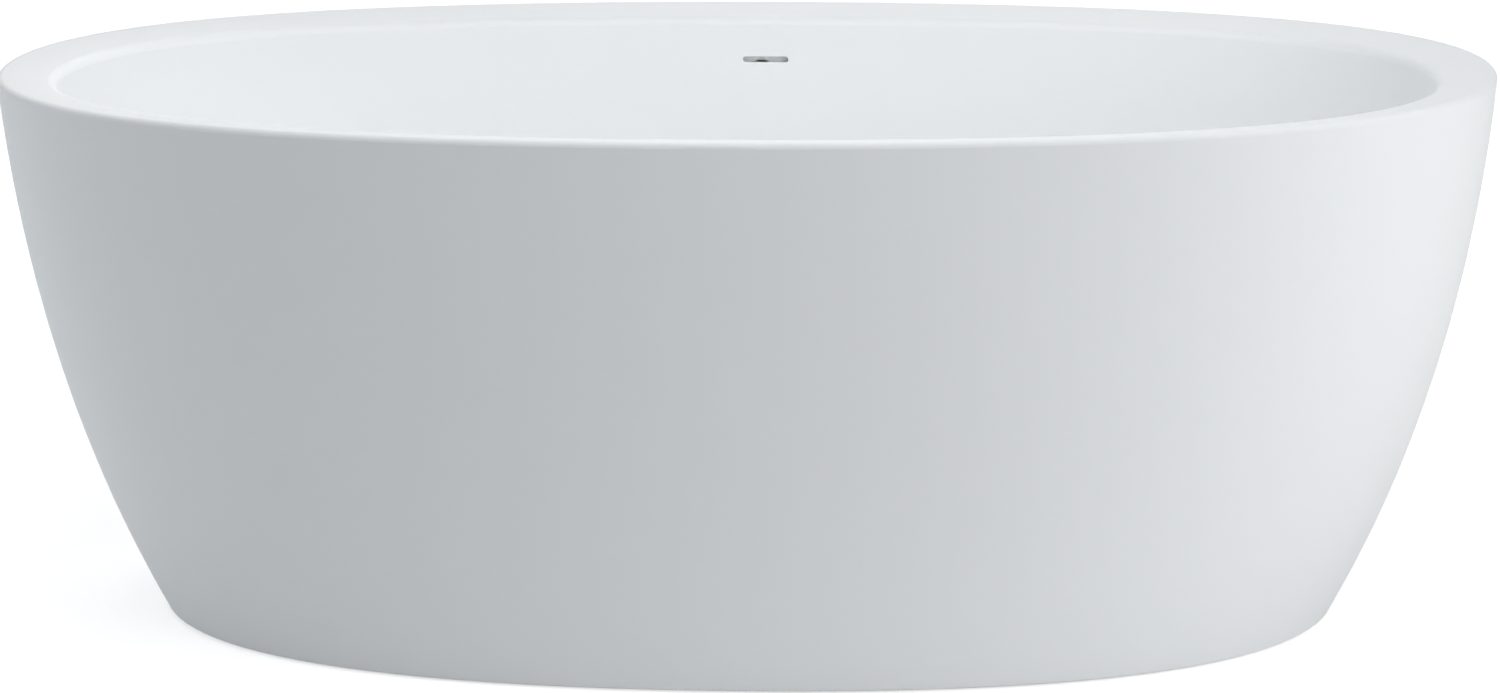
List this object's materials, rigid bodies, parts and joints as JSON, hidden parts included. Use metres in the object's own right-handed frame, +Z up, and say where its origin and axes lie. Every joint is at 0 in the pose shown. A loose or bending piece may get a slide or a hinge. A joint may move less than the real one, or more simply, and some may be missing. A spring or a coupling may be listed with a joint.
{
  "type": "freestanding bathtub",
  "caption": "Oval freestanding bath with a wide inward-sloping rim, slot overflow, pop-up waste, low trap and levelling feet under a tapering skirt.",
  "frame": {"origin": "on the floor under the middle of the bath", "axes": "+X along the bath, +Y towards the long side with the overflow slot, +Z up"},
  "size_m": [1.6, 0.8, 0.58],
  "materials": {
    "solid_surface": "matte",
    "grey_plastic": "satin",
    "white_plastic": "satin",
    "hose_plastic": "satin",
    "stainless": "satin",
    "chrome": "polished",
    "seal_rubber": "matte",
    "galvanised": "satin",
    "plywood": "matte",
    "foot_rubber": "matte"
  },
  "bodies": {
    "tub": {"basin": "solid_surface", "outer_skirt": "solid_surface", "overflow_chamber": "grey_plastic", "overflow_hose": "hose_plastic", "upper_hose_clip": "stainless", "lower_hose_clip": "stainless", "waste_flange": "chrome", "flange_seal": "seal_rubber", "body_seal": "seal_rubber", "union_seal": "seal_rubber", "waste_body": "white_plastic", "plug_sleeve": "chrome", "trap_body": "white_plastic", "trap_nut": "white_plastic", "outlet_pipe": "white_plastic", "outlet_seal": "seal_rubber", "outlet_nut": "white_plastic", "base_board": "plywood", "left_rail": "galvanised", "right_rail": "galvanised", "left_rail_screws": "galvanised", "right_rail_screws": "galvanised", "lock_nuts": "galvanised", "rail_nuts": "galvanised"},
    "plug": {"plug_cap": "chrome", "plug_seal": "seal_rubber", "plug_stem": "stainless"},
    "front_left_foot": {"front_left_foot_pad": "foot_rubber", "front_left_foot_stud": "galvanised"},
    "back_left_foot": {"back_left_foot_pad": "foot_rubber", "back_left_foot_stud": "galvanised"},
    "front_right_foot": {"front_right_foot_pad": "foot_rubber", "front_right_foot_stud": "galvanised"},
    "back_right_foot": {"back_right_foot_pad": "foot_rubber", "back_right_foot_stud": "galvanised"}
  },
  "joints": [
    {"name": "plug_lift", "type": "slide", "parent": "tub", "child": "plug", "axis": [0, 0, 1], "range_m": [0, 0.009]},
    {"name": "front_left_foot_level", "type": "slide", "parent": "tub", "child": "front_left_foot", "axis": [0, 0, 1], "range_m": [-0.02, 0.01]},
    {"name": "back_left_foot_level", "type": "slide", "parent": "tub", "child": "back_left_foot", "axis": [0, 0, 1], "range_m": [-0.02, 0.01]},
    {"name": "front_right_foot_level", "type": "slide", "parent": "tub", "child": "front_right_foot", "axis": [0, 0, 1], "range_m": [-0.02, 0.01]},
    {"name": "back_right_foot_level", "type": "slide", "parent": "tub", "child": "back_right_foot", "axis": [0, 0, 1], "range_m": [-0.02, 0.01]}
  ]
}
